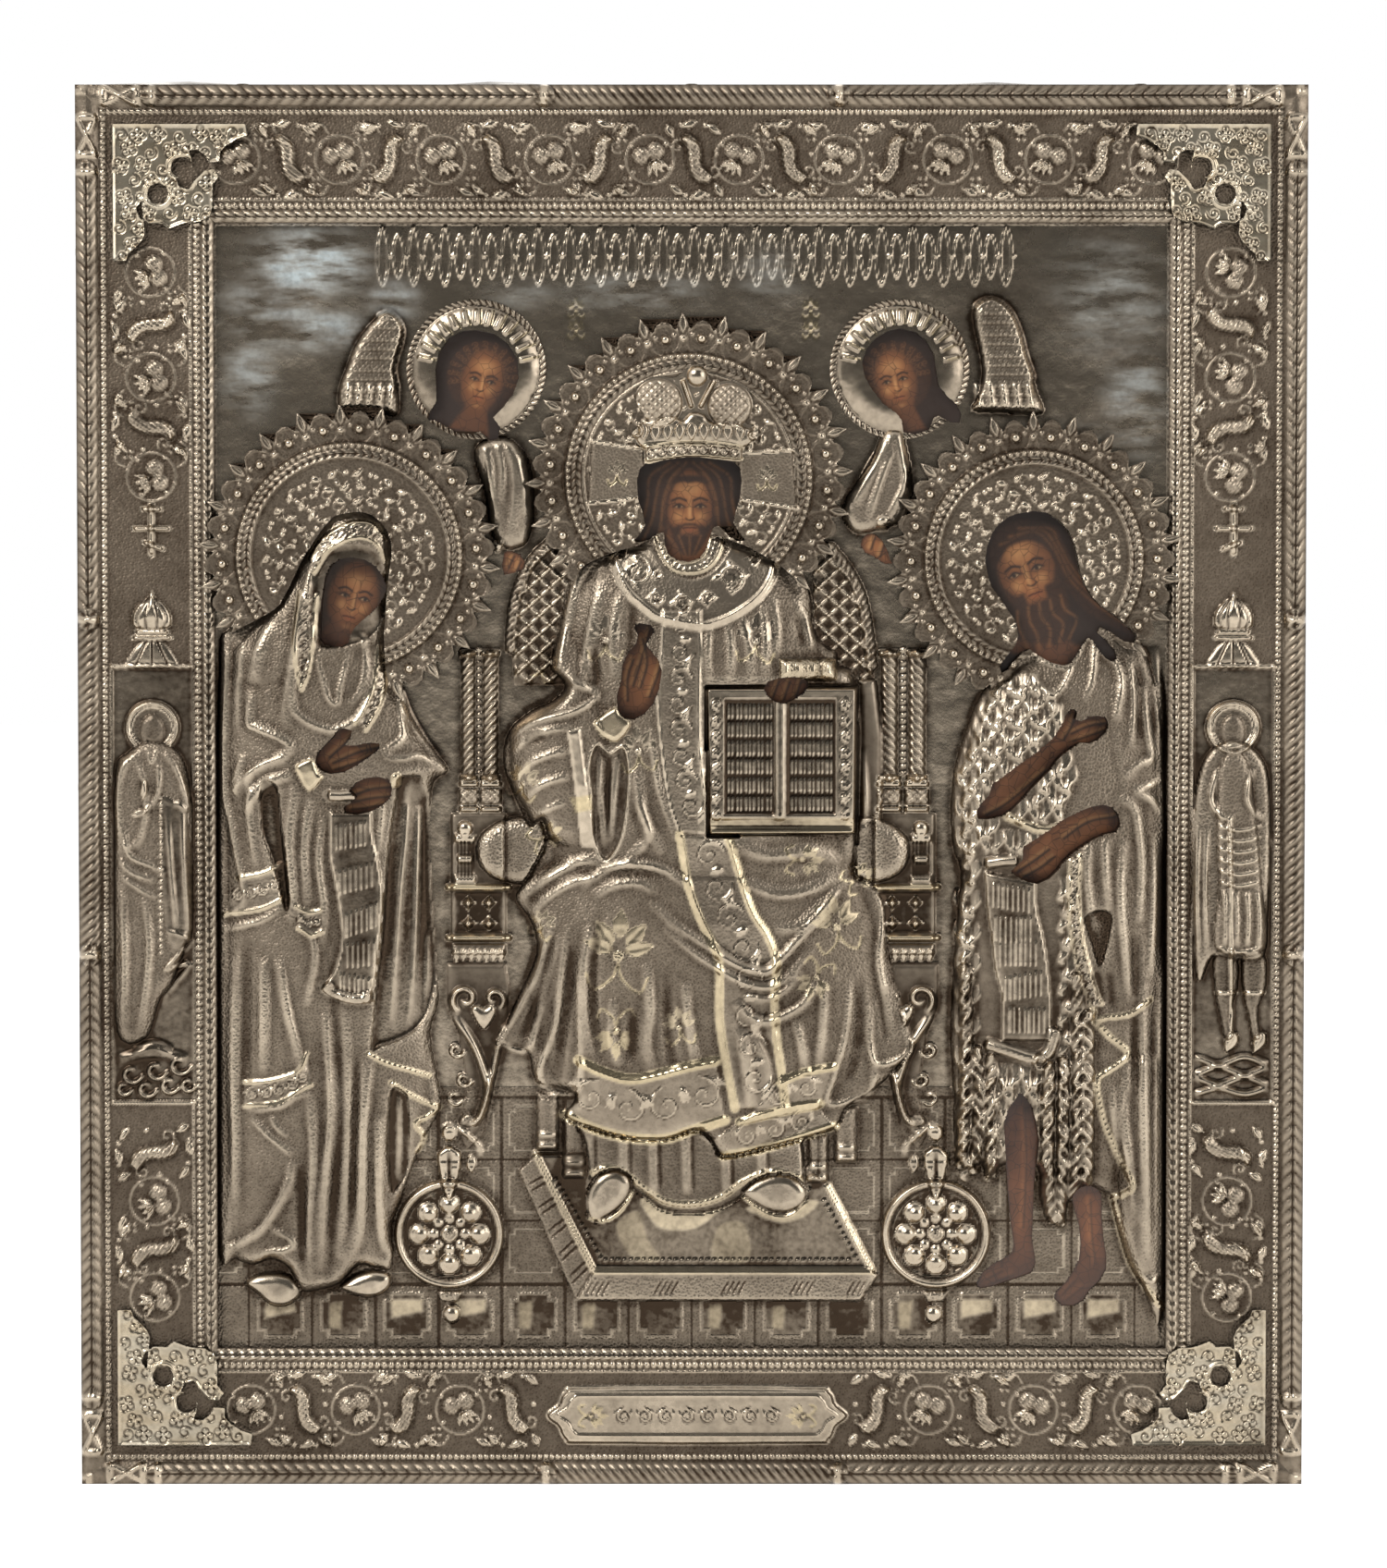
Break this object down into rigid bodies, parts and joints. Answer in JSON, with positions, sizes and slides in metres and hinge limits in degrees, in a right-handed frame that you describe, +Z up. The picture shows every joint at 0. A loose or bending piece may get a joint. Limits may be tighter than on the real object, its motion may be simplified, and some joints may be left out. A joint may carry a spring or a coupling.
{
  "type": "oklad icon cover",
  "caption": "Embossed silver cover nailed over a painted wooden icon panel, with overlaid halos, corner plates and a swinging ring behind.",
  "frame": {"origin": "middle of the lower edge that the icon stands on, at half the panel's depth", "axes": "+Z up, the picture faces -Y, +X to the right as seen from in front"},
  "size_m": [0.3158, 0.0447, 0.3607],
  "materials": {
    "silver_sheet": "chased, matted and tarnished silver",
    "polished_silver": "burnished silver",
    "silver_nail": "dull, hammered",
    "limewood": "aged, bare",
    "oak": "aged, bare",
    "gesso": "painted in egg tempera under old varnish",
    "iron_wire": "forged, darkened"
  },
  "bodies": {
    "icon": {"side_band_top": "silver_sheet", "side_band_left": "silver_sheet", "side_band_right": "silver_sheet", "side_band_bottom": "silver_sheet", "border_strip_top": "silver_sheet", "border_strip_bottom": "silver_sheet", "border_strip_left": "silver_sheet", "border_strip_right": "silver_sheet", "corner_plate_top_left": "silver_sheet", "corner_plate_top_right": "silver_sheet", "corner_plate_bottom_right": "silver_sheet", "corner_plate_bottom_left": "silver_sheet", "field_sheet": "silver_sheet", "halo_left": "polished_silver", "halo_centre": "polished_silver", "halo_right": "polished_silver", "angel_halo_left": "polished_silver", "angel_halo_right": "polished_silver", "crown": "polished_silver", "panel_plank_left": "limewood", "panel_plank_right": "limewood", "back_batten_upper": "oak", "back_batten_lower": "oak", "painted_ground": "gesso", "edge_nails": "silver_nail", "hanging_eye": "iron_wire"},
    "ring": {"hanging_ring": "iron_wire"}
  },
  "joints": [
    {"name": "ring_swing", "type": "hinge", "parent": "icon", "child": "ring", "pos_m": [0, 0.0186, 0.3253], "axis": [1, 0, 0], "range_deg": [0, 170]}
  ]
}
